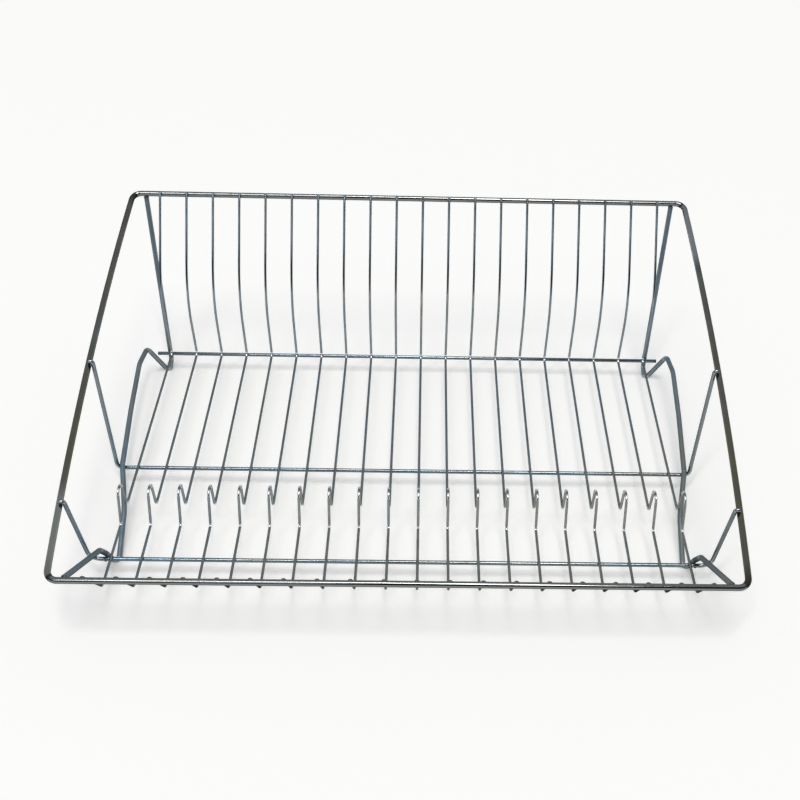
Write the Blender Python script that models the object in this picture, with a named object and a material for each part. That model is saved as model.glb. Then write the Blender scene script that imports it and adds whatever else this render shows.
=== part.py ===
# Wire dish rack: a rim bent from one heavy wire, two side frames that turn down
# into feet, three lengthwise wires and a row of shaped cross wires.
# Metres, +Z up. Everything is drawn from the middle of the back rim (Y = 0) and
# from the centre line of the cross wires' floor (Z = 0), and an empty carries it
# to the middle of its footprint with the feet on the ground.

import math

import bmesh
import bpy
from mathutils import Quaternion, Vector

# Wire gauges (diameters), and the gap left at a weld
rim_gauge = 0.0045
frame_gauge = 0.0040
long_gauge = 0.0030
cross_gauge = 0.0020
weld_gap = 0.0003

# Rim: centre line, width at the corners, level depth, heights above the floor.
# Every inset below is measured inward from half this width.
rim_width = 0.4665
rim_bow = 0.0045
rim_depth = 0.33697
rim_back_height = 0.12716
rim_front_height = 0.0385
rim_corner_radius = 0.0170

# Cross wires
cross_count = 20
cross_inset = 0.0233
wall_depth = 0.0573
wall_height = 0.0630
wall_radius = 0.0800
heel_radius = 0.0040
ridge_depth = 0.2355
ridge_foot = 0.0200
ridge_lean = 0.0005
ridge_width = 0.0095
ridge_height = 0.0245
ridge_foot_radius = 0.0030
ridge_top_radius = 0.0045
toe_depth = 0.3123
toe_radius = 0.0060
cross_back_tip = 0.0010
cross_front_offset = 0.0023

# Lengthwise wires
back_wire_inset = 0.01075
middle_wire_depth = 0.1948
middle_corner_inset = 0.00645
middle_corner_radius = 0.0045
middle_hook_depth = 0.1700
front_wire_depth = 0.2860
front_corner_inset = 0.0076
front_corner_radius = 0.0080
front_hook_depth = 0.2830
hook_reach = 0.0008

# Side frames: ends at the rim, feet, and the run between them
leg_top_inset = 0.01075
leg_waist_inset = 0.02105
leg_waist_drop = 0.0080
leg_bend_radius = 0.0090
foot_drop = 0.0164
foot_flat = 0.0004
foot_bend_radius = 0.00225
back_foot_inset = 0.01765
back_foot_width = 0.0036
back_foot_step = 0.0022
shoulder_inset = 0.00395
shoulder_step = 0.0060
shoulder_height = 0.0095
shoulder_radius = 0.0055
crest_inset = 0.00275
crest_step = 0.0295
crest_height = 0.0120
crest_radius = 0.0300
dip_inset = 0.00525
dip_lead = 0.0598
dip_height = 0.0055
dip_radius = 0.0900
middle_pass_inset = 0.01085
run_inset = 0.02095
run_step = 0.0432
run_drop = 0.0046
run_radius = 0.0400
front_foot_inset = 0.02105
front_foot_width = 0.0046
front_foot_lead = 0.0102
front_pass_inset = 0.01875
front_pass_radius = 0.0060
crook_inset = 0.01655
crook_height = 0.0074
crook_radius = 0.0060
front_end_inset = 0.01075
end_relief = 0.0004

# How far a bend's chords may leave its true curve, and the rim's bow stations
bend_sag = 0.0002
bow_stations = 10

rim_r = rim_gauge / 2
frame_r = frame_gauge / 2
long_r = long_gauge / 2
cross_r = cross_gauge / 2

rim_half = rim_width / 2
cross_pitch = (rim_width - 2 * cross_inset) / (cross_count - 1)
rim_fall = rim_back_height - rim_front_height
rim_down = Vector((0, -rim_depth, -rim_fall)).normalized()
rim_up = Vector((0, rim_down.z, -rim_down.y))
back_rim = Vector((0, 0, rim_back_height))
front_rim = Vector((0, -rim_depth, rim_front_height))

cross_on_rim = rim_r + weld_gap + cross_r
cross_on_long = long_r + weld_gap + cross_r
frame_on_long = long_r + weld_gap + frame_r
hook_on_rim = rim_r + weld_gap + long_r

# The back lengthwise wire lies in the outer corner of the cross wires' heel
heel_nest = (heel_radius + cross_on_long) * math.sqrt(0.5)
back_wire = Vector((0, -wall_depth - heel_radius + heel_nest, heel_radius - heel_nest))
middle_wire = Vector((0, -middle_wire_depth, -cross_on_long))
front_wire = Vector((0, -front_wire_depth, -cross_on_long))

ground = -foot_drop - frame_r + foot_flat


def rounded(corners, closed=False):
    """A path through the corners, each given as a point and a bend radius."""
    path = []
    count = len(corners)
    for index, (corner, radius) in enumerate(corners):
        at_end = not closed and index in (0, count - 1)
        if at_end or radius == 0:
            path.append(corner)
            continue
        before = corners[index - 1][0] - corner
        after = corners[(index + 1) % count][0] - corner
        turn = math.pi - before.angle(after)
        half = math.tan(turn / 2)
        reach = min(radius * half, before.length * 0.49, after.length * 0.49)
        bend = reach / half
        start = corner + before.normalized() * reach
        inward = (before.normalized() + after.normalized()).normalized()
        centre = corner + inward * (bend / math.cos(turn / 2))
        axis = after.cross(before).normalized()
        step = 2 * math.acos(1 - min(bend_sag / bend, 0.5))
        steps = max(1, math.ceil(turn / step))
        for k in range(steps + 1):
            spin = Quaternion(axis, turn * k / steps)
            path.append(centre + spin @ (start - centre))
    return path


def tangent(point, centre, reach, side):
    """Where a line from the point touches a circle round the centre, in the YZ plane.
    side is 1 to pass with the centre on its right, seen from +X, and -1 on its left."""
    to_centre = Vector((centre.y - point.y, centre.z - point.z))
    lean = side * math.asin(reach / to_centre.length)
    along = to_centre.normalized()
    way = Vector((along.x * math.cos(lean) - along.y * math.sin(lean),
                  along.x * math.sin(lean) + along.y * math.cos(lean)))
    run = math.sqrt(to_centre.length ** 2 - reach ** 2)
    return Vector((0, point.y + way.x * run, point.z + way.y * run)), Vector((0, way.x, way.y))


def tangent_corner(first, last, centre, reach):
    """The corner of two lines, from first and from last, that both pass over a wire."""
    touch_a, way_a = tangent(first, centre, reach, -1)
    touch_b, way_b = tangent(last, centre, reach, 1)
    offset = touch_b - touch_a
    cross = way_a.y * way_b.z - way_a.z * way_b.y
    along = (offset.y * way_b.z - offset.z * way_b.y) / cross
    return touch_a + way_a * along


def rim_half_at(share):
    """Half the rim's width at a share of its depth, with the sides' outward bow."""
    return rim_half + rim_bow * (1 - (2 * share - 1) ** 2)


def rim_side(depth):
    """The side rim's centre line at a level distance from the back rim."""
    share = depth / rim_depth
    return Vector((rim_half_at(share), -depth, rim_back_height - rim_fall * share))


def rim_end(inset, end, way):
    """The back or front rim's centre line at an inset that may lie in its rounded corner."""
    into_corner = max(0, rim_corner_radius - inset)
    off = rim_corner_radius - math.sqrt(rim_corner_radius ** 2 - into_corner ** 2)
    return Vector((rim_half - inset, end.y, end.z)) + way * off


def inset_spot(inset, y, z):
    """A point of the right side frame, its place along the rack given as an inset."""
    return Vector((rim_half - inset, y, z))


def level_with(spot, way, height):
    """The point at a height on the line through the spot."""
    return spot + way * ((height - spot.z) / way.z)


def metal(name, colour, roughness):
    """The plated wire's material."""
    material = bpy.data.materials.new(name)
    material.use_nodes = True
    shader = material.node_tree.nodes["Principled BSDF"]
    shader.inputs["Base Color"].default_value = (*colour, 1)
    shader.inputs["Metallic"].default_value = 1
    shader.inputs["Roughness"].default_value = roughness
    return material


def wire(name, path, radius, sides, colour, roughness, closed=False):
    """One wire: a bevelled curve along the path, with its cut ends filled."""
    curve = bpy.data.curves.new(name, "CURVE")
    curve.dimensions = "3D"
    curve.bevel_depth = radius
    curve.bevel_resolution = sides // 2 - 2
    curve.use_fill_caps = not closed
    spline = curve.splines.new("POLY")
    spline.points.add(len(path) - 1)
    for spot, place in zip(spline.points, path):
        spot.co = (*place, 1)
    spline.use_cyclic_u = closed
    spline.use_smooth = True
    curve.materials.append(metal(name, colour, roughness))
    obj = bpy.data.objects.new(name, curve)
    bpy.context.scene.collection.objects.link(obj)
    obj.parent = carrier
    return obj


def with_ground_feet(bent):
    """The same wire as a mesh, with its feet ground flat where they stand."""
    bpy.context.view_layer.update()
    depsgraph = bpy.context.evaluated_depsgraph_get()
    solid = bpy.data.meshes.new_from_object(bent.evaluated_get(depsgraph))
    name = bent.name
    bpy.data.objects.remove(bent)

    shape = bmesh.new()
    shape.from_mesh(solid)
    bmesh.ops.remove_doubles(shape, verts=shape.verts, dist=weld_gap / 30)
    cut = bmesh.ops.bisect_plane(
        shape,
        geom=shape.verts[:] + shape.edges[:] + shape.faces[:],
        plane_co=(0, 0, ground),
        plane_no=(0, 0, -1),
        clear_outer=True,
    )
    outlines = [item for item in cut["geom_cut"] if isinstance(item, bmesh.types.BMEdge)]
    bmesh.ops.edgeloop_fill(shape, edges=outlines)
    bmesh.ops.recalc_face_normals(shape, faces=shape.faces)
    shape.to_mesh(solid)
    shape.free()
    solid.shade_smooth()
    solid.set_sharp_from_angle(angle=math.radians(40))

    obj = bpy.data.objects.new(name, solid)
    bpy.context.scene.collection.objects.link(obj)
    obj.parent = carrier
    return obj


def rim_path():
    """The closed loop of the rim, in its sloping plane."""
    loop = []
    slope_length = math.hypot(rim_depth, rim_fall)
    for side in (1, -1):
        stations = range(bow_stations + 1)
        if side == -1:
            stations = reversed(stations)
        for k in stations:
            share = k / bow_stations
            spot = back_rim + rim_down * (slope_length * share)
            spot.x = side * rim_half_at(share)
            at_corner = k in (0, bow_stations)
            loop.append((spot, rim_corner_radius if at_corner else 0))
    return rounded(loop, closed=True)


def cross_path(x):
    """One cross wire, from its tip over the back rim to its end against the front rim."""
    wall_top = Vector((0, -wall_depth, wall_height))
    back_touch, back_way = tangent(wall_top, back_rim, cross_on_rim, 1)
    toe = Vector((0, -toe_depth, 0))
    front_pass, front_way = tangent(toe, front_rim, cross_front_offset, -1)
    front_stop = math.sqrt((rim_r + weld_gap) ** 2 - (cross_front_offset - cross_r) ** 2)
    ridge_back = -ridge_depth - ridge_lean
    corners = [
        (back_touch + back_way * cross_back_tip, 0),
        (wall_top, wall_radius),
        (Vector((0, -wall_depth, 0)), heel_radius),
        (Vector((0, -ridge_depth, 0)), ridge_foot_radius),
        (Vector((0, ridge_back, ridge_height)), ridge_top_radius),
        (Vector((0, ridge_back - ridge_width, ridge_height)), ridge_top_radius),
        (Vector((0, -ridge_depth - ridge_foot, 0)), ridge_foot_radius),
        (toe, toe_radius),
        (front_pass - front_way * front_stop, 0),
    ]
    return rounded([(spot + Vector((x, 0, 0)), radius) for spot, radius in corners])


def hooked_path(wire_line, corner_inset, corner_radius, hook_depth):
    """A lengthwise wire whose arms rise at both ends and hook over the side rims."""
    side_rim = rim_side(hook_depth)
    over = side_rim + rim_up * hook_on_rim
    half = [
        (over - Vector((hook_reach, 0, 0)), 0),
        (over - Vector((hook_on_rim, 0, 0)), hook_on_rim),
        (wire_line + Vector((rim_half - corner_inset, 0, 0)), corner_radius),
    ]
    other = [(Vector((-spot.x, spot.y, spot.z)), radius) for spot, radius in reversed(half)]
    return rounded(half + other)


def frame_path(side):
    """A side frame: rim, leg, back foot, run, front foot and up to the front rim."""
    top = rim_end(leg_top_inset, back_rim, rim_down)
    leg_touch, leg_way = tangent(top, back_wire, frame_on_long, 1)
    waist = level_with(leg_touch, leg_way, -leg_waist_drop)
    waist.x = rim_half - leg_waist_inset
    leg_start = top + (waist - top).normalized() * (rim_r + weld_gap + end_relief)
    heel_y = back_wire.y - back_foot_step
    half_foot = back_foot_width / 2

    dip = inset_spot(dip_inset, middle_wire.y + dip_lead, dip_height)
    run = inset_spot(run_inset, middle_wire.y - run_step, -run_drop)
    over_middle = tangent_corner(dip, run, middle_wire, frame_on_long)
    over_middle.x = rim_half - middle_pass_inset

    toe_y = front_wire.y + front_foot_lead
    half_toe = front_foot_width / 2
    toe_a = inset_spot(front_foot_inset + half_toe, toe_y, -foot_drop)
    toe_b = inset_spot(front_foot_inset - half_toe, toe_y, -foot_drop)
    over_front, rise_way = tangent(toe_b, front_wire, frame_on_long, -1)
    crook = level_with(over_front, rise_way, crook_height)
    over_front.x = rim_half - front_pass_inset
    crook.x = rim_half - crook_inset
    end = rim_end(front_end_inset, front_rim, -rim_down)
    end = end + (crook - end).normalized() * (rim_r + weld_gap + end_relief)

    corners = [
        (leg_start, 0),
        (waist, leg_bend_radius),
        (inset_spot(back_foot_inset + half_foot, heel_y, -foot_drop), foot_bend_radius),
        (inset_spot(back_foot_inset - half_foot, heel_y, -foot_drop), foot_bend_radius),
        (inset_spot(shoulder_inset, back_wire.y - shoulder_step, shoulder_height), shoulder_radius),
        (inset_spot(crest_inset, back_wire.y - crest_step, crest_height), crest_radius),
        (dip, dip_radius),
        (over_middle, frame_on_long),
        (run, run_radius),
        (toe_a, foot_bend_radius),
        (toe_b, foot_bend_radius),
        (over_front, front_pass_radius),
        (crook, crook_radius),
        (end, 0),
    ]
    return rounded([(Vector((side * spot.x, spot.y, spot.z)), radius) for spot, radius in corners])


for old in list(bpy.data.objects):
    bpy.data.objects.remove(old)

carrier = bpy.data.objects.new("rack_origin", None)
bpy.context.scene.collection.objects.link(carrier)
carrier.location = (0, rim_depth / 2, -ground)

bright = (0.56, 0.59, 0.60)
warm = (0.57, 0.58, 0.55)
dull = (0.42, 0.45, 0.46)

wire("rim", rim_path(), rim_r, 12, warm, 0.16, closed=True)

for name, side in (("left_side_frame", -1), ("right_side_frame", 1)):
    with_ground_feet(wire(name, frame_path(side), frame_r, 10, bright, 0.2))

half_back = Vector((rim_half - back_wire_inset, 0, 0))
wire("back_lengthwise_wire", [back_wire - half_back, back_wire + half_back], long_r, 10, bright, 0.15)
middle_path = hooked_path(middle_wire, middle_corner_inset, middle_corner_radius, middle_hook_depth)
wire("middle_lengthwise_wire", middle_path, long_r, 10, bright, 0.15)
front_path = hooked_path(front_wire, front_corner_inset, front_corner_radius, front_hook_depth)
wire("front_lengthwise_wire", front_path, long_r, 10, bright, 0.15)

for number in range(cross_count):
    x = (number - (cross_count - 1) / 2) * cross_pitch
    wire(f"cross_wire_{number + 1:02d}", cross_path(x), cross_r, 8, dull, 0.22)
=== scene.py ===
# Welded wire dish rack: the bright plating, fine bends, weld beads and cut ends of its wires.
# Lines are drawn in metres from the middle of the back rim and the cross wires' floor line,
# and rackOrigin carries them to where the frame stands.

import math

import bpy
from mathutils import Matrix, Quaternion, Vector


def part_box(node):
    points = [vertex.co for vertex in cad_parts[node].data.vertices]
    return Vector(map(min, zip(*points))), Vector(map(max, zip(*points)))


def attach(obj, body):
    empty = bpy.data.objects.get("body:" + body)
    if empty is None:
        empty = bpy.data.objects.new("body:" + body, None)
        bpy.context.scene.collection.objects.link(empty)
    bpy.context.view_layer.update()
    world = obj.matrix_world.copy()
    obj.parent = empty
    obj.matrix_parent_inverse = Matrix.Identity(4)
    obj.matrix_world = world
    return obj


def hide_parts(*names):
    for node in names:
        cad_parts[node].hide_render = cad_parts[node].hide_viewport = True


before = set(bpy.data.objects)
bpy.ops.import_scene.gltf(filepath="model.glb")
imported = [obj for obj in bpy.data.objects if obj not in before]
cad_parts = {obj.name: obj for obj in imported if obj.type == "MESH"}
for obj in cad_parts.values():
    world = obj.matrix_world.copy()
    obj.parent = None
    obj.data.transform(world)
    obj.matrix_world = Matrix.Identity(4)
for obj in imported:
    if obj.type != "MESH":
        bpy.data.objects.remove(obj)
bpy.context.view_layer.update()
print("frame loaded:", len(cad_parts), "wires")

wireStock = {
    "rim": 0.0045,              # diameters of the four kinds of wire
    "frame": 0.0040,
    "long": 0.0030,
    "cross": 0.0020,
    "weldGap": 0.0003,          # left between two wires by the frame, filled here by a bead
    "bendSag": 0.00003,         # how far a bend's chords may leave its true curve
    "coarsestSag": 0.05,        # the most that may be, as a share of the bend's radius
    "fewestChords": 3,
    "bendShare": 0.49,          # the most of a straight that one bend may take
    "sharpBend": 0.0018,        # a bend whose points lie closer than this is tight, and gets rubbed bright with a painted highlight
    "endRounding": 0.00018,     # worn edge of a cut end
    "endSegments": 3,
    "endAngle": 60,             # an edge sharper than this, in degrees, is the rim of a cut end
    "smoothAngle": 40,          # faces that meet at less than this are shaded as one
    "mergeDistance": 0.00001,   # points closer than this are one
}
rimRadius = wireStock["rim"] / 2
frameRadius = wireStock["frame"] / 2
longRadius = wireStock["long"] / 2
crossRadius = wireStock["cross"] / 2
frameOnLong = longRadius + wireStock["weldGap"] + frameRadius
crossOnLong = longRadius + wireStock["weldGap"] + crossRadius
crossOnRim = rimRadius + wireStock["weldGap"] + crossRadius
hookOnRim = rimRadius + wireStock["weldGap"] + longRadius

rackOrigin = Vector((0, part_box("rim")[1].y - rimRadius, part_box("cross_wire_01")[0].z + crossRadius))


# Wires: a line of points, then a tube along it

def roundedLine(corners, closed=False):
    # Each corner comes with its bend's radius, and leaves as short chords round that bend
    line = []
    count = len(corners)
    for index, (corner, radius) in enumerate(corners):
        atEnd = not closed and index in (0, count - 1)
        if atEnd or radius == 0:
            line.append(corner)
            continue
        before = corners[index - 1][0] - corner
        after = corners[(index + 1) % count][0] - corner
        turn = math.pi - before.angle(after)
        half = math.tan(turn / 2)
        reach = min(radius * half, min(before.length, after.length) * wireStock["bendShare"])
        bend = reach / half
        start = corner + before.normalized() * reach
        inward = (before.normalized() + after.normalized()).normalized()
        centre = corner + inward * (bend / math.cos(turn / 2))
        axis = after.cross(before).normalized()
        step = 2 * math.acos(1 - min(wireStock["bendSag"] / bend, wireStock["coarsestSag"]))
        steps = max(wireStock["fewestChords"], math.ceil(turn / step))
        for k in range(steps + 1):
            line.append(centre + Quaternion(axis, turn * k / steps) @ (start - centre))
    return line


def tangentPast(point, centre, reach, side):
    # Where a line from the point touches a circle round the centre, seen along the rack
    toCentre = Vector((centre.y - point.y, centre.z - point.z))
    lean = side * math.asin(reach / toCentre.length)
    along = toCentre.normalized()
    wayY = along.x * math.cos(lean) - along.y * math.sin(lean)
    wayZ = along.x * math.sin(lean) + along.y * math.cos(lean)
    run = math.sqrt(toCentre.length ** 2 - reach ** 2)
    return Vector((0, point.y + wayY * run, point.z + wayZ * run)), Vector((0, wayY, wayZ))


def cornerOver(first, last, centre, reach):
    # The corner of two lines, from first and from last, that both pass over a wire
    touchA, wayA = tangentPast(first, centre, reach, -1)
    touchB, wayB = tangentPast(last, centre, reach, 1)
    offset = touchB - touchA
    crossing = wayA.y * wayB.z - wayA.z * wayB.y
    return touchA + wayA * ((offset.y * wayB.z - offset.z * wayB.y) / crossing)


def levelWith(spot, way, height):
    # Where a line through the spot comes to that height
    return spot + way * ((height - spot.z) / way.z)


def mirrored(spot):
    return Vector((-spot.x, spot.y, spot.z))


def deselectAll():
    bpy.ops.object.select_all(action="DESELECT")


def selectOnly(piece):
    deselectAll()
    piece.select_set(True)
    bpy.context.view_layer.objects.active = piece


def layLengthOnUv(mesh, line, gauge, closed):
    # The tube's map counts points: this gives it real lengths, along the wire and round it,
    # and marks the points inside tight bends, which are rubbed bright and carry a painted highlight
    travelled = [0]
    ahead = line[1:] + (line[:1] if closed else [])
    for here, there in zip(line, ahead):
        travelled.append(travelled[-1] + (there - here).length)
    last = len(travelled) - 1
    rubbedGlint = [0] * (last + 1)
    for station in range(1, last):
        here = travelled[station]
        longest = max(here - travelled[station - 1], travelled[station + 1] - here)
        rubbedGlint[station] = 1 if longest < wireStock["sharpBend"] else 0
    bendGlint = mesh.attributes.new("bendGlint", "FLOAT", "CORNER")
    for corner, rubGlint in zip(mesh.uv_layers[0].data, bendGlint.data):
        station = min(last, round(corner.uv.x * last))
        corner.uv = (travelled[station], corner.uv.y * math.pi * gauge)
        rubGlint.value = rubbedGlint[station]


def bendWire(name, line, gauge, sides, closed=False):
    # One vertex is drawn out along the line, turned into a curve and given its thickness
    line = [spot + rackOrigin for spot in line]
    deselectAll()
    bpy.ops.mesh.primitive_plane_add(size=gauge, location=line[0])
    bpy.ops.object.mode_set(mode="EDIT")
    bpy.ops.mesh.select_all(action="SELECT")
    bpy.ops.mesh.merge(type="CENTER")
    for here, there in zip(line, line[1:]):
        bpy.ops.mesh.extrude_region_move(TRANSFORM_OT_translate={"value": there - here})
    if closed:
        bpy.ops.mesh.extrude_region_move(TRANSFORM_OT_translate={"value": line[0] - line[-1]})
        bpy.ops.mesh.select_all(action="SELECT")
        bpy.ops.mesh.remove_doubles(threshold=wireStock["mergeDistance"])
    bpy.ops.object.mode_set(mode="OBJECT")
    bpy.ops.object.transform_apply(location=True, rotation=True, scale=True)
    bpy.ops.object.convert(target="CURVE")
    tube = bpy.context.object
    tube.name = name
    tube.data.bevel_depth = gauge / 2
    tube.data.bevel_resolution = sides // 2 - 2     # Blender gives a round of resolution n its 2n + 4 sides
    tube.data.use_fill_caps = not closed
    for spline in tube.data.splines:
        spline.use_smooth = True
    bpy.ops.object.convert(target="MESH")
    layLengthOnUv(tube.data, line, gauge, closed)
    bpy.ops.object.mode_set(mode="EDIT")
    bpy.ops.mesh.select_all(action="SELECT")
    bpy.ops.mesh.remove_doubles(threshold=wireStock["mergeDistance"])
    bpy.ops.mesh.normals_make_consistent(inside=False)
    bpy.ops.object.mode_set(mode="OBJECT")
    return tube


def roundCutEnds(tube):
    # Sheared ends lose their sharp rim when the rack is tumbled and plated
    selectOnly(tube)
    soften = tube.modifiers.new("endRounding", "BEVEL")
    soften.width = wireStock["endRounding"]
    soften.segments = wireStock["endSegments"]
    soften.limit_method = "ANGLE"
    soften.angle_limit = math.radians(wireStock["endAngle"])
    bpy.ops.object.modifier_apply(modifier=soften.name)
    bpy.ops.object.shade_smooth_by_angle(angle=math.radians(wireStock["smoothAngle"]))


weldBead = {
    "segments": 10,
    "rings": 6,
    "spread": 0.50,             # half width, as a share of the reach that a weld is given
    "thickness": 0.24,          # half height, likewise
    "unevenness": 0.00004,
}


def addWeldBead(place, away, reach, seed):
    # A low lens of squeezed-out metal between two crossing wires
    deselectAll()
    bpy.ops.mesh.primitive_uv_sphere_add(
        segments=weldBead["segments"], ring_count=weldBead["rings"], radius=reach, location=(0, 0, 0))
    bpy.ops.object.mode_set(mode="EDIT")
    bpy.ops.mesh.select_all(action="SELECT")
    bpy.ops.transform.resize(value=(weldBead["spread"], weldBead["spread"], weldBead["thickness"]))
    bpy.ops.transform.vertex_random(offset=weldBead["unevenness"], uniform=1, normal=0, seed=seed)
    bpy.ops.object.mode_set(mode="OBJECT")
    bead = bpy.context.object
    turn = Vector((0, 0, 1)).rotation_difference(away).to_matrix().to_4x4()
    bead.matrix_world = Matrix.Translation(place + rackOrigin) @ turn
    bpy.ops.object.transform_apply(location=True, rotation=True, scale=True)
    bpy.ops.object.shade_smooth()
    bead.data.materials.append(weldFinish)
    return bead


def addBeads(welds, firstSeed):
    return [addWeldBead(*weld, seed) for seed, weld in enumerate(welds, firstSeed)]


def joinBeads(wire, beads):
    deselectAll()
    for bead in beads:
        bead.select_set(True)
    wire.select_set(True)
    bpy.context.view_layer.objects.active = wire
    bpy.ops.object.join()


# Finishes

def nodeMaker(owner, shaderName="Principled BSDF"):
    # For a material or the world: its shader, its links, and what adds a node with values or links
    owner.use_nodes = True
    nodes = owner.node_tree.nodes
    links = owner.node_tree.links

    def add(kind, inputs=(), **settings):
        node = nodes.new(kind)
        for key, value in settings.items():
            setattr(node, key, value)
        for socket, value in inputs:
            if isinstance(value, bpy.types.NodeSocket):
                links.new(value, node.inputs[socket])
            else:
                node.inputs[socket].default_value = value
        return node

    return nodes[shaderName], links, add


def noise(add, place, scale, detail, roughness=0.5, distortion=0):
    texture = add("ShaderNodeTexNoise", [
        ("Vector", place), ("Scale", scale), ("Detail", detail),
        ("Roughness", roughness), ("Distortion", distortion)])
    return texture.outputs["Fac"]


def ramp(add, value, ends, low=0, high=1, **settings):
    stretch = add("ShaderNodeMapRange", [
        ("Value", value), ("From Min", ends[0]), ("From Max", ends[1]),
        ("To Min", low), ("To Max", high)], **settings)
    return stretch.outputs["Result"]


def blend(add, share, first, second):
    # Either colour may be a constant or another node's output
    first, second = (
        colour if isinstance(colour, bpy.types.NodeSocket) else (*colour, 1) for colour in (first, second))
    mix = add("ShaderNodeMix", [(0, share), (6, first), (7, second)], data_type="RGBA")
    return mix.outputs[2]


def calculate(add, operation, *values):
    return add("ShaderNodeMath", enumerate(values), operation=operation).outputs["Value"]


def shareAlong(add, vector, way):
    return add("ShaderNodeVectorMath", [(0, vector), (1, way)], operation="DOT_PRODUCT").outputs["Value"]


def brightPlating(name, finish):
    material = bpy.data.materials.new(name)
    shader, links, add = nodeMaker(material)
    shader.inputs["Metallic"].default_value = 1
    coords = add("ShaderNodeTexCoord")
    place = coords.outputs["Object"]
    alongWire = add("ShaderNodeMapping", [
        ("Vector", coords.outputs["UV"]), ("Scale", (finish["drawLengths"], finish["drawLines"], 1))])
    drawLines = noise(add, alongWire.outputs["Vector"], 1, detail=4, roughness=0.65)

    # Tint: from cool to warm along the rack, clouded, with small dull spots
    tints = noise(add, place, finish["tintScale"], detail=2, distortion=0.6)
    drifted = calculate(add, "ADD", tints, shareAlong(add, place, finish["warmWay"]))
    warmth = ramp(add, drifted, finish["warmEnds"])
    links.new(blend(add, warmth, finish["coolEdge"], finish["warmEdge"]), shader.inputs["Specular Tint"])
    colour = blend(add, warmth, finish["cool"], finish["warm"])
    clouds = noise(add, place, finish["cloudScale"], detail=3, roughness=0.55)
    cloudCover = ramp(add, clouds, finish["cloudEnds"], high=finish["cloudiness"])
    colour = blend(add, cloudCover, colour, finish["clouded"])
    specks = add("ShaderNodeTexVoronoi", [("Vector", place), ("Scale", finish["speckScale"])], feature="F1")
    speckMask = ramp(add, specks.outputs["Distance"], finish["speckEnds"], low=1, high=0)
    spotArea = ramp(add, noise(add, place, finish["spotPatches"], detail=1), finish["spotEnds"])
    spots = calculate(add, "MULTIPLY", speckMask, spotArea)
    colour = blend(add, spots, colour, finish["spot"])

    # Wear and painted shade: front and back dulled as painted shade, undersides darkened as painted shade,
    # tight bends rubbed bright with a painted highlight
    parts = add("ShaderNodeSeparateXYZ", [("Vector", place)])
    fromMiddle = calculate(add, "ABSOLUTE", parts.outputs["Y"])
    runShading = ramp(add, fromMiddle, finish["runShadePast"], high=finish["runShading"])
    colour = blend(add, runShading, colour, finish["paintedRunShade"])
    # Painted shade: the side facing down (down and forward on the rim) is darkened, as if in shadow
    facing = shareAlong(add, coords.outputs["Normal"], finish["shadedSideWay"])
    underShadeShare = ramp(
        add, facing, finish["underside"], high=finish["underShadeStrength"], interpolation_type="SMOOTHSTEP")
    colour = blend(add, underShadeShare, colour, finish["paintedUnderShade"])
    # Tight bends: rubbing wear, lifted further toward white as a painted highlight
    bends = add("ShaderNodeAttribute", attribute_name="bendGlint")
    glintShare = calculate(add, "MULTIPLY", bends.outputs["Fac"], finish["bendGlintShare"])
    links.new(blend(add, glintShare, colour, finish["rubbedGlint"]), shader.inputs["Base Color"])

    # Gloss: the draw lines vary it, clouds and spots haze it, rubbing sharpens it
    gloss = ramp(add, drawLines, finish["drawEnds"], *finish["roughness"])
    hazed = calculate(add, "MULTIPLY_ADD", cloudCover, finish["haze"], gloss)
    dulled = calculate(add, "MULTIPLY_ADD", spots, finish["haze"], hazed)
    sharpened = ramp(add, glintShare, (0, 1), low=1, high=finish["rubbedRoughness"])
    links.new(calculate(add, "MULTIPLY", dulled, sharpened), shader.inputs["Roughness"])

    pits = noise(add, place, finish["grainScale"], detail=2)
    relief = calculate(add, "MULTIPLY_ADD", pits, finish["grainShare"], drawLines)
    bump = add("ShaderNodeBump", [
        ("Height", relief), ("Strength", finish["relief"]), ("Distance", finish["reliefDepth"])])
    links.new(bump.outputs["Normal"], shader.inputs["Normal"])
    return material


def weldSkin(name, finish):
    material = bpy.data.materials.new(name)
    shader, links, add = nodeMaker(material)
    shader.inputs["Metallic"].default_value = 1
    coords = add("ShaderNodeTexCoord")
    patches = noise(add, coords.outputs["Object"], finish["patchScale"], detail=3)
    colour = blend(add, ramp(add, patches, finish["patchEnds"]), finish["dark"], finish["light"])
    links.new(colour, shader.inputs["Base Color"])
    links.new(ramp(add, patches, (0, 1), *finish["roughness"]), shader.inputs["Roughness"])
    bump = add("ShaderNodeBump", [
        ("Height", patches), ("Strength", finish["relief"]), ("Distance", finish["reliefDepth"])])
    links.new(bump.outputs["Normal"], shader.inputs["Normal"])
    return material


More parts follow.
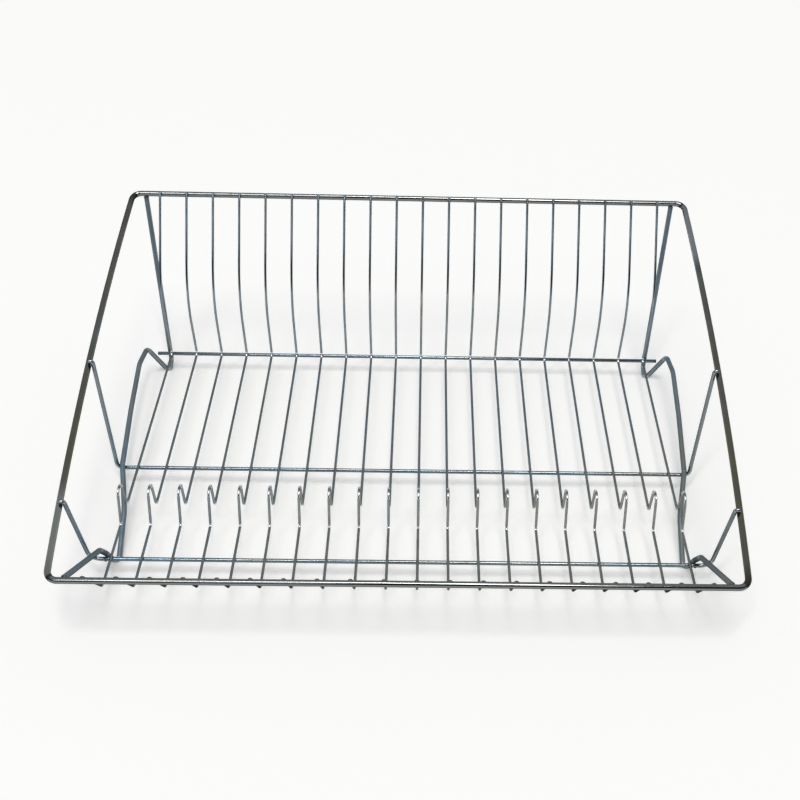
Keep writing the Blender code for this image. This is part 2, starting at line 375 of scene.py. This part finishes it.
# Pairs called ends are the values of a noise between which its effect sets in
platingBase = {
    "cool": (0.265, 0.315, 0.345),
    "warm": (0.300, 0.312, 0.296),
    "coolEdge": (0.10, 0.11, 0.12),     # the same two tints where the wire's round turns away
    "warmEdge": (0.11, 0.11, 0.10),
    "warmWay": (0, 0, 0),               # how the tint drifts along the rack, per metre
    "warmEnds": (0.38, 0.64),
    "tintScale": 7,
    "clouded": (0.190, 0.222, 0.240),
    "cloudiness": 0.7,
    "cloudScale": 55,
    "cloudEnds": (0.35, 0.70),
    "spot": (0.130, 0.132, 0.122),
    "spotPatches": 30,
    "spotEnds": (0.52, 0.64),
    "speckScale": 700,
    "speckEnds": (0.10, 0.22),
    "paintedRunShade": (0.048, 0.046, 0.036),   # painted shade that mutes the reflections of the front and back runs
    "runShadePast": (0.152, 0.166),      # distances before or behind the middle between which that sets in
    "runShading": 0,
    # painted shade: the underside of each wire is darkened toward this colour
    "paintedUnderShade": (0.050, 0.056, 0.062),
    "shadedSideWay": (0, 0, -1),           # the way the side of a wire with painted shade faces
    "underside": (-0.15, 0.45),         # shares of facing that way between which the painted shade sets in
    "underShadeStrength": 0.8,
    # tight bends: rubbed bright, and brighter still as a painted highlight
    "rubbedGlint": (0.80, 0.83, 0.85),
    "bendGlintShare": 0.8,
    "rubbedRoughness": 0.6,             # what is left of the roughness there
    "drawLengths": 60,                  # draw lines: breaks per metre along the wire
    "drawLines": 3200,                  # and lines per metre round it
    "drawEnds": (0.30, 0.75),
    "roughness": (0.07, 0.15),
    "haze": 0.10,
    "grainScale": 2600,
    "grainShare": 0.5,
    "relief": 0.35,
    "reliefDepth": 0.00003,
}
rimPlating = brightPlating("rimPlating", {
    **platingBase,
    "coolEdge": (0.080, 0.085, 0.090),
    "warmEdge": (0.200, 0.165, 0.030),
    "cool": (0.185, 0.205, 0.215),
    "warm": (0.185, 0.168, 0.112),
    "warmWay": (-0.25, -1.0, 0),
    "clouded": (0.128, 0.132, 0.128),
    # painted shade on the rim's lower front side
    "paintedUnderShade": (0.014, 0.013, 0.012),
    "shadedSideWay": (0, -0.6, -0.8),
    "underside": (-0.10, 0.22),
    "underShadeStrength": 0.9,
    # painted shade on the rim's front and back runs
    "runShading": 0.9,
    "roughness": (0.04, 0.10),
    "relief": 0.2,
    "bendGlintShare": 0.25,
})
framePlating = brightPlating("framePlating", {
    **platingBase,
    "cool": (0.250, 0.315, 0.360),
    "warm": (0.275, 0.285, 0.270),
    "warmWay": (0, -0.4, -2.0),
    "clouded": (0.190, 0.225, 0.245),
    "cloudScale": 48,
    "roughness": (0.42, 0.56),
    "bendGlintShare": 0.35,
})
longPlating = brightPlating("longPlating", {
    **platingBase,
    "cool": (0.190, 0.262, 0.320),
    "warm": (0.235, 0.260, 0.265),
    "warmWay": (0, -0.6, 0),
    "underside": (-0.30, 0.30),
    "bendGlintShare": 0.2,
    "cloudScale": 62,
    "roughness": (0.12, 0.22),
})
crossPlating = brightPlating("crossPlating", {
    **platingBase,
    "cool": (0.262, 0.310, 0.352),
    "warm": (0.308, 0.310, 0.280),
    "warmWay": (0, -1.4, 0),
    "clouded": (0.195, 0.220, 0.236),
    "cloudScale": 75,
    "roughness": (0.06, 0.13),
    "underShadeStrength": 0,
    # painted highlight in the tight bends, over the rubbing
    "rubbedGlint": (0.90, 0.92, 0.94),
    "bendGlintShare": 1,
})
weldFinish = weldSkin("weldSkin", {
    "dark": (0.070, 0.078, 0.082),
    "light": (0.190, 0.195, 0.190),
    "patchScale": 1400,
    "patchEnds": (0.35, 0.65),
    "roughness": (0.38, 0.62),
    "relief": 0.6,
    "reliefDepth": 0.00008,
})
print("finishes made")


# Rim: one heavy wire, bowed a little outward at the sides, in a sloping plane

rim = {
    "depth": 0.33697,
    "bow": 0.0045,
    "backHeight": 0.12716,
    "frontHeight": 0.0385,
    "cornerRadius": 0.0170,
    "bowStations": 24,
    "sides": 28,
}
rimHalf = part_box("rim")[1].x - rimRadius - rim["bow"]
rimFall = rim["backHeight"] - rim["frontHeight"]
rimDown = Vector((0, -rim["depth"], -rimFall)).normalized()
rimUp = Vector((0, rimDown.z, -rimDown.y))
backRim = Vector((0, 0, rim["backHeight"]))
frontRim = Vector((0, -rim["depth"], rim["frontHeight"]))


def rimHalfAt(share):
    return rimHalf + rim["bow"] * (1 - (2 * share - 1) ** 2)


def rimSide(depth):
    share = depth / rim["depth"]
    return Vector((rimHalfAt(share), -depth, rim["backHeight"] - rimFall * share))


def rimEnd(inset, end, way):
    intoCorner = max(0, rim["cornerRadius"] - inset)
    off = rim["cornerRadius"] - math.sqrt(rim["cornerRadius"] ** 2 - intoCorner ** 2)
    return Vector((rimHalf - inset, end.y, end.z)) + way * off


def buildRim():
    slope = math.hypot(rim["depth"], rimFall)
    loop = []
    for side in (1, -1):
        stations = range(rim["bowStations"] + 1)
        for k in stations if side == 1 else reversed(stations):
            share = k / rim["bowStations"]
            spot = backRim + rimDown * (slope * share)
            spot.x = side * rimHalfAt(share)
            loop.append((spot, rim["cornerRadius"] if k in (0, rim["bowStations"]) else 0))
    wire = bendWire("rimWire", roundedLine(loop, closed=True), wireStock["rim"], rim["sides"], closed=True)
    bpy.ops.object.shade_smooth()
    wire.data.materials.append(rimPlating)
    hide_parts("rim")
    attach(wire, "root")


buildRim()
print("rim bent")


# Lengthwise wires: a straight one in the heel of the cross wires, and two whose arms hook over the rim

longSides = 24
backLong = {"inset": 0.01075, "heelDepth": 0.0573, "heelRadius": 0.0040}
middleLong = {"depth": 0.1948, "cornerInset": 0.00645, "cornerRadius": 0.0045, "hookDepth": 0.1700}
frontLong = {"depth": 0.2860, "cornerInset": 0.0076, "cornerRadius": 0.0080, "hookDepth": 0.2830}
hook = {
    "shortOfTop": 0.0008,       # how far before the top of the rim an arm ends
    "beadInset": 0.0016,        # and how far before it the weld lies
    "bead": 0.0024,
    "firstSeed": 11,
}

heelNest = (backLong["heelRadius"] + crossOnLong) * math.sqrt(0.5)
heelCentre = Vector((0, -backLong["heelDepth"] - backLong["heelRadius"], backLong["heelRadius"]))
backWire = heelCentre + Vector((0, heelNest, -heelNest))
middleWire = Vector((0, -middleLong["depth"], -crossOnLong))
frontWire = Vector((0, -frontLong["depth"], -crossOnLong))


def finishLong(wire, node, beads):
    roundCutEnds(wire)
    wire.data.materials.append(longPlating)
    joinBeads(wire, beads)
    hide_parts(node)
    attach(wire, "root")


def buildHookedWire(name, node, long, wireLine):
    over = rimSide(long["hookDepth"]) + rimUp * hookOnRim
    half = [
        (over - Vector((hook["shortOfTop"], 0, 0)), 0),
        (over - Vector((hookOnRim, 0, 0)), hookOnRim),
        (wireLine + Vector((rimHalf - long["cornerInset"], 0, 0)), long["cornerRadius"]),
    ]
    other = [(mirrored(spot), radius) for spot, radius in reversed(half)]
    wire = bendWire(name, roundedLine(half + other), wireStock["long"], longSides)
    contact = rimSide(long["hookDepth"]) + rimUp * (rimRadius + wireStock["weldGap"] / 2)
    contact.x -= hook["beadInset"]
    welds = [(spot, rimUp, hook["bead"]) for spot in (contact, mirrored(contact))]
    finishLong(wire, node, addBeads(welds, hook["firstSeed"]))


halfBack = Vector((rimHalf - backLong["inset"], 0, 0))
straight = bendWire("backLongWire", [backWire - halfBack, backWire + halfBack], wireStock["long"], longSides)
finishLong(straight, "back_lengthwise_wire", [])
buildHookedWire("middleLongWire", "middle_lengthwise_wire", middleLong, middleWire)
buildHookedWire("frontLongWire", "front_lengthwise_wire", frontLong, frontWire)
print("lengthwise wires bent")


# Side frames: a leg from the back rim, two feet, and a low run between them

# Insets are in from the rim's half width, heights and drops from the cross wires' floor line,
# steps go forward, and leads back, from a lengthwise wire
sideFrame = {
    "sides": 24,
    "endRelief": 0.0004,
    "legTopInset": 0.01075,
    "legWaist": {"inset": 0.02105, "drop": 0.0080, "radius": 0.0090},
    "footDrop": 0.0164,
    "footRadius": 0.00225,
    "backFoot": {"inset": 0.01765, "width": 0.0036, "step": 0.0022},
    "shoulder": {"inset": 0.00395, "step": 0.0060, "height": 0.0095, "radius": 0.0055},
    "crest": {"inset": 0.00275, "step": 0.0295, "height": 0.0120, "radius": 0.0300},
    "dip": {"inset": 0.00525, "lead": 0.0598, "height": 0.0055, "radius": 0.0900},
    "middlePassInset": 0.01085,
    "run": {"inset": 0.02095, "step": 0.0432, "drop": 0.0046, "radius": 0.0400},
    "frontFoot": {"inset": 0.02105, "width": 0.0046, "lead": 0.0102},
    "frontPass": {"inset": 0.01875, "radius": 0.0060},
    "crook": {"inset": 0.01655, "height": 0.0074, "radius": 0.0060},
    "frontEndInset": 0.01075,
    "endBead": 0.0046,
    "passBead": 0.0020,
    "firstSeed": 20,
    "cutSlack": 0.0000003,      # how near the ground a point may lie and not be cut
    "flatAngle": 30,            # a worn foot's edge is sharper than this, in degrees
}


def frameLine():
    # The right frame's line, and its welds with the other wires: (contact, direction between them, reach)
    endGap = rimRadius + wireStock["weldGap"] + sideFrame["endRelief"]
    foot = sideFrame["backFoot"]
    toe = sideFrame["frontFoot"]
    waistBend = sideFrame["legWaist"]
    footHeight = -sideFrame["footDrop"]

    def place(form, y, z, aside=0):
        return Vector((rimHalf - form["inset"] + aside, y, z))

    top = rimEnd(sideFrame["legTopInset"], backRim, rimDown)
    legTouch, legWay = tangentPast(top, backWire, frameOnLong, 1)
    waist = levelWith(legTouch, legWay, -waistBend["drop"])
    waist.x = rimHalf - waistBend["inset"]
    down = (waist - top).normalized()
    heelY = backWire.y - foot["step"]

    shoulder = sideFrame["shoulder"]
    crest = sideFrame["crest"]
    dip = place(sideFrame["dip"], middleWire.y + sideFrame["dip"]["lead"], sideFrame["dip"]["height"])
    run = place(sideFrame["run"], middleWire.y - sideFrame["run"]["step"], -sideFrame["run"]["drop"])
    overMiddle = cornerOver(dip, run, middleWire, frameOnLong)
    overMiddle.x = rimHalf - sideFrame["middlePassInset"]

    toeY = frontWire.y + toe["lead"]
    toeBack = place(toe, toeY, footHeight, -toe["width"] / 2)
    toeFront = place(toe, toeY, footHeight, toe["width"] / 2)
    overFront, riseWay = tangentPast(toeFront, frontWire, frameOnLong, -1)
    crook = levelWith(overFront, riseWay, sideFrame["crook"]["height"])
    overFront.x = rimHalf - sideFrame["frontPass"]["inset"]
    crook.x = rimHalf - sideFrame["crook"]["inset"]
    end = rimEnd(sideFrame["frontEndInset"], frontRim, -rimDown)
    fromRim = (crook - end).normalized()

    line = roundedLine([
        (top + down * endGap, 0),
        (waist, waistBend["radius"]),
        (place(foot, heelY, footHeight, -foot["width"] / 2), sideFrame["footRadius"]),
        (place(foot, heelY, footHeight, foot["width"] / 2), sideFrame["footRadius"]),
        (place(shoulder, backWire.y - shoulder["step"], shoulder["height"]), shoulder["radius"]),
        (place(crest, backWire.y - crest["step"], crest["height"]), crest["radius"]),
        (dip, sideFrame["dip"]["radius"]),
        (overMiddle, frameOnLong),
        (run, sideFrame["run"]["radius"]),
        (toeBack, sideFrame["footRadius"]),
        (toeFront, sideFrame["footRadius"]),
        (overFront, sideFrame["frontPass"]["radius"]),
        (crook, sideFrame["crook"]["radius"]),
        (end + fromRim * endGap, 0),
    ])

    legX = top.x + (waist.x - top.x) * (top.z - legTouch.z) / (top.z - waist.z)
    passes = [
        (legX, backWire, Vector((0, -legWay.z, legWay.y))),
        (overMiddle.x, middleWire, Vector((0, 0, 1))),
        (overFront.x, frontWire, Vector((0, -riseWay.z, riseWay.y))),
    ]
    welds = [(top + down * rimRadius, down, sideFrame["endBead"])]
    for x, centre, away in passes:
        contact = Vector((x, centre.y, centre.z)) + away * (longRadius + wireStock["weldGap"] / 2)
        welds.append((contact, away, sideFrame["passBead"]))
    welds.append((end + fromRim * rimRadius, fromRim, sideFrame["endBead"]))
    return line, welds


def standFlat(wire):
    # The feet are worn flat where they stand
    selectOnly(wire)
    bpy.ops.object.mode_set(mode="EDIT")
    bpy.ops.mesh.select_all(action="SELECT")
    bpy.ops.mesh.bisect(
        plane_co=(0, 0, 0), plane_no=(0, 0, 1), use_fill=True, clear_inner=True,
        threshold=sideFrame["cutSlack"])
    bpy.ops.object.mode_set(mode="OBJECT")
    bpy.ops.object.shade_smooth_by_angle(angle=math.radians(sideFrame["flatAngle"]))


def buildSideFrame(name, node, side):
    line, welds = frameLine()
    if side == -1:
        line = [mirrored(spot) for spot in line]
        welds = [(mirrored(spot), mirrored(way), reach) for spot, way, reach in welds]
    wire = bendWire(name, line, wireStock["frame"], sideFrame["sides"])
    roundCutEnds(wire)
    standFlat(wire)
    wire.data.materials.append(framePlating)
    joinBeads(wire, addBeads(welds, sideFrame["firstSeed"]))
    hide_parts(node)
    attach(wire, "root")


buildSideFrame("leftSideFrame", "left_side_frame", -1)
buildSideFrame("rightSideFrame", "right_side_frame", 1)
print("side frames bent")


# Cross wires: one is bent and welded, then copied along the rack

crossWire = {
    "sides": 20,
    "wall": {"height": 0.0630, "radius": 0.0800},
    "ridge": {"depth": 0.2355, "foot": 0.0200, "lean": 0.0005, "width": 0.0095, "height": 0.0245},
    "ridgeFootRadius": 0.0030,
    "ridgeTopRadius": 0.0045,
    "toe": {"depth": 0.3123, "radius": 0.0060},
    "backTip": 0.0010,          # how far the wire stands past its touch on the back rim
    "frontOffset": 0.0023,      # from the front rim's centre to the wire's line, which stops short of it
    "bead": 0.0025,
    "endBead": 0.0042,          # the upset end that shows above the front rim
    "firstSeed": 40,
}


def crossLine():
    ridge = crossWire["ridge"]
    wallTop = Vector((0, -backLong["heelDepth"], crossWire["wall"]["height"]))
    toe = Vector((0, -crossWire["toe"]["depth"], 0))
    backTouch, backWay = tangentPast(wallTop, backRim, crossOnRim, 1)
    frontPass, frontWay = tangentPast(toe, frontRim, crossWire["frontOffset"], -1)
    nearSide = crossWire["frontOffset"] - crossRadius
    frontEnd = frontPass - frontWay * math.sqrt((rimRadius + wireStock["weldGap"]) ** 2 - nearSide ** 2)
    ridgeBack = -ridge["depth"] - ridge["lean"]
    line = roundedLine([
        (backTouch + backWay * crossWire["backTip"], 0),
        (wallTop, crossWire["wall"]["radius"]),
        (Vector((0, -backLong["heelDepth"], 0)), backLong["heelRadius"]),
        (Vector((0, -ridge["depth"], 0)), crossWire["ridgeFootRadius"]),
        (Vector((0, ridgeBack, ridge["height"])), crossWire["ridgeTopRadius"]),
        (Vector((0, ridgeBack - ridge["width"], ridge["height"])), crossWire["ridgeTopRadius"]),
        (Vector((0, -ridge["depth"] - ridge["foot"], 0)), crossWire["ridgeFootRadius"]),
        (toe, crossWire["toe"]["radius"]),
        (frontEnd, 0),
    ])
    onRim = (rimRadius + wireStock["weldGap"] / 2) / crossOnRim
    onLong = (longRadius + wireStock["weldGap"] / 2) / crossOnLong
    intoHeel = (heelCentre - backWire).normalized() * crossOnLong
    floorUp = Vector((0, 0, crossOnLong))
    # Each weld lies on the way from the other wire's centre to this one's, by a share of it
    meetings = [
        (backRim, backTouch - backRim, onRim, crossWire["bead"]),
        (backWire, intoHeel, onLong, crossWire["bead"]),
        (middleWire, floorUp, onLong, crossWire["bead"]),
        (frontWire, floorUp, onLong, crossWire["bead"]),
        (frontRim, frontEnd - frontRim, rimRadius / (frontEnd - frontRim).length, crossWire["endBead"]),
    ]
    return line, [(centre + way * share, way.normalized(), reach) for centre, way, share, reach in meetings]


def buildCrossWires():
    line, welds = crossLine()
    first = bendWire("crossWire", line, wireStock["cross"], crossWire["sides"])
    roundCutEnds(first)
    first.data.materials.append(crossPlating)
    joinBeads(first, addBeads(welds, crossWire["firstSeed"]))
    names = sorted(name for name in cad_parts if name.startswith("cross_wire_"))
    for number, name in enumerate(names, 1):
        low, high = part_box(name)
        selectOnly(first)
        bpy.ops.object.duplicate(linked=False)
        copy = bpy.context.object
        copy.name = f"crossWire{number:02d}"
        bpy.ops.transform.translate(value=((low.x + high.x) / 2, 0, 0))
        bpy.ops.object.transform_apply(location=True, rotation=True, scale=True)
        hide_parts(name)
        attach(copy, "root")
    bpy.data.objects.remove(first)


buildCrossWires()
print("cross wires bent and copied")


# Studio: a pale table under far softboxes, in a pale room that is dim only in front, above the horizon

studio = {
    "tableSize": 16,
    "tableCuts": 3,
    "tableColour": (0.935, 0.912, 0.885),
    "tableRoughness": 0.9,
    "tableShine": 0.1,
    "tableGlow": 0.22,              # lifts the table to near white where it is seen or mirrored
    "horizon": (0.90, 0.91, 0.92),
    "horizonTop": (0.10, 0.20),     # upward shares of a direction between which the horizon fades out
    "walls": (0.45, 0.49, 0.52),
    "dimFront": (0.035, 0.040, 0.045),
    "frontTurn": (-0.50, 0.00),     # rearward shares between which the dim front turns into the walls
}


def buildTable():
    deselectAll()
    bpy.ops.mesh.primitive_plane_add(size=studio["tableSize"], location=(0, 0, 0))
    table = bpy.context.object
    table.name = "paleTable"
    bpy.ops.object.mode_set(mode="EDIT")
    bpy.ops.mesh.subdivide(number_cuts=studio["tableCuts"])
    bpy.ops.object.mode_set(mode="OBJECT")
    material = bpy.data.materials.new("paleTableTop")
    shader, links, add = nodeMaker(material)
    shader.inputs["Base Color"].default_value = (*studio["tableColour"], 1)
    shader.inputs["Roughness"].default_value = studio["tableRoughness"]
    shader.inputs["Specular IOR Level"].default_value = studio["tableShine"]
    shader.inputs["Emission Color"].default_value = (*studio["tableColour"], 1)
    paths = add("ShaderNodeLightPath").outputs
    reflected = calculate(add, "MAXIMUM", paths["Is Glossy Ray"], paths["Is Transmission Ray"])
    seen = calculate(add, "MAXIMUM", reflected, paths["Is Camera Ray"])
    glow = calculate(add, "MULTIPLY", seen, studio["tableGlow"])
    links.new(glow, shader.inputs["Emission Strength"])
    table.data.materials.append(material)


def buildSky():
    world = bpy.data.worlds.new("studioRoom")
    bpy.context.scene.world = world
    background, links, add = nodeMaker(world, "Background")
    direction = add("ShaderNodeTexCoord")
    parts = add("ShaderNodeSeparateXYZ", [("Vector", direction.outputs["Generated"])])
    rearward = ramp(add, parts.outputs["Y"], studio["frontTurn"], interpolation_type="SMOOTHSTEP")
    upward = ramp(add, parts.outputs["Z"], studio["horizonTop"], interpolation_type="SMOOTHSTEP")
    walls = blend(add, rearward, studio["dimFront"], studio["walls"])
    links.new(blend(add, upward, studio["horizon"], walls), background.inputs["Color"])


# Sizes and places in metres, each aimed at the rack
lamps = {
    "leftSoftbox": {"place": (-3.6, -3.6, 18), "size": (1.8, 9), "watts": 710, "tone": (0.95, 0.98, 1.0)},
    "rightSoftbox": {"place": (1.5, -3.6, 18), "size": (3.0, 9), "watts": 940, "tone": (1.0, 0.985, 0.95)},
    "frontFill": {"place": (-7.2, -12.9, 18), "size": (11.4, 6.0), "watts": 420, "tone": (0.90, 0.95, 1.0)},
}


def addLamp(name, lamp):
    deselectAll()
    bpy.ops.object.light_add(type="AREA", location=lamp["place"])
    light = bpy.context.object
    light.name = name
    light.data.shape = "RECTANGLE"
    light.data.size = lamp["size"][0]
    light.data.size_y = lamp["size"][1]
    light.rotation_euler = (Vector() - light.location).to_track_quat("-Z", "Y").to_euler()
    light.data.energy = lamp["watts"]
    light.data.color = lamp["tone"]


buildTable()
buildSky()
for name, lamp in lamps.items():
    addLamp(name, lamp)
print("studio lit")


# Camera: where the photograph was taken from, from a perspective fit to the rim and the wire rows

# Angles are in degrees, the lens and the sensor in millimetres
view = {
    "place": (0.0123, -0.574315, 0.5938),
    "tiltDown": 43.079,
    "turnRight": 1.724,
    "roll": 2.019,
    "lens": 45,
    "sensor": 36,
    "shift": (-0.05425, 0.013875),
    "nearest": 0.01,
}


def addCamera():
    deselectAll()
    bpy.ops.object.camera_add(location=view["place"])
    camera = bpy.context.object
    turn = Matrix.Rotation(math.radians(-view["turnRight"]), 3, "Z")
    tilt = Matrix.Rotation(math.radians(90 - view["tiltDown"]), 3, "X")
    roll = Matrix.Rotation(math.radians(view["roll"]), 3, "Z")
    camera.rotation_euler = (turn @ tilt @ roll).to_euler()
    camera.data.lens = view["lens"]
    camera.data.sensor_width = view["sensor"]
    camera.data.shift_x, camera.data.shift_y = view["shift"]
    camera.data.clip_start = view["nearest"]
    bpy.context.scene.camera = camera


addCamera()
bpy.context.scene.view_settings.view_transform = "Standard"
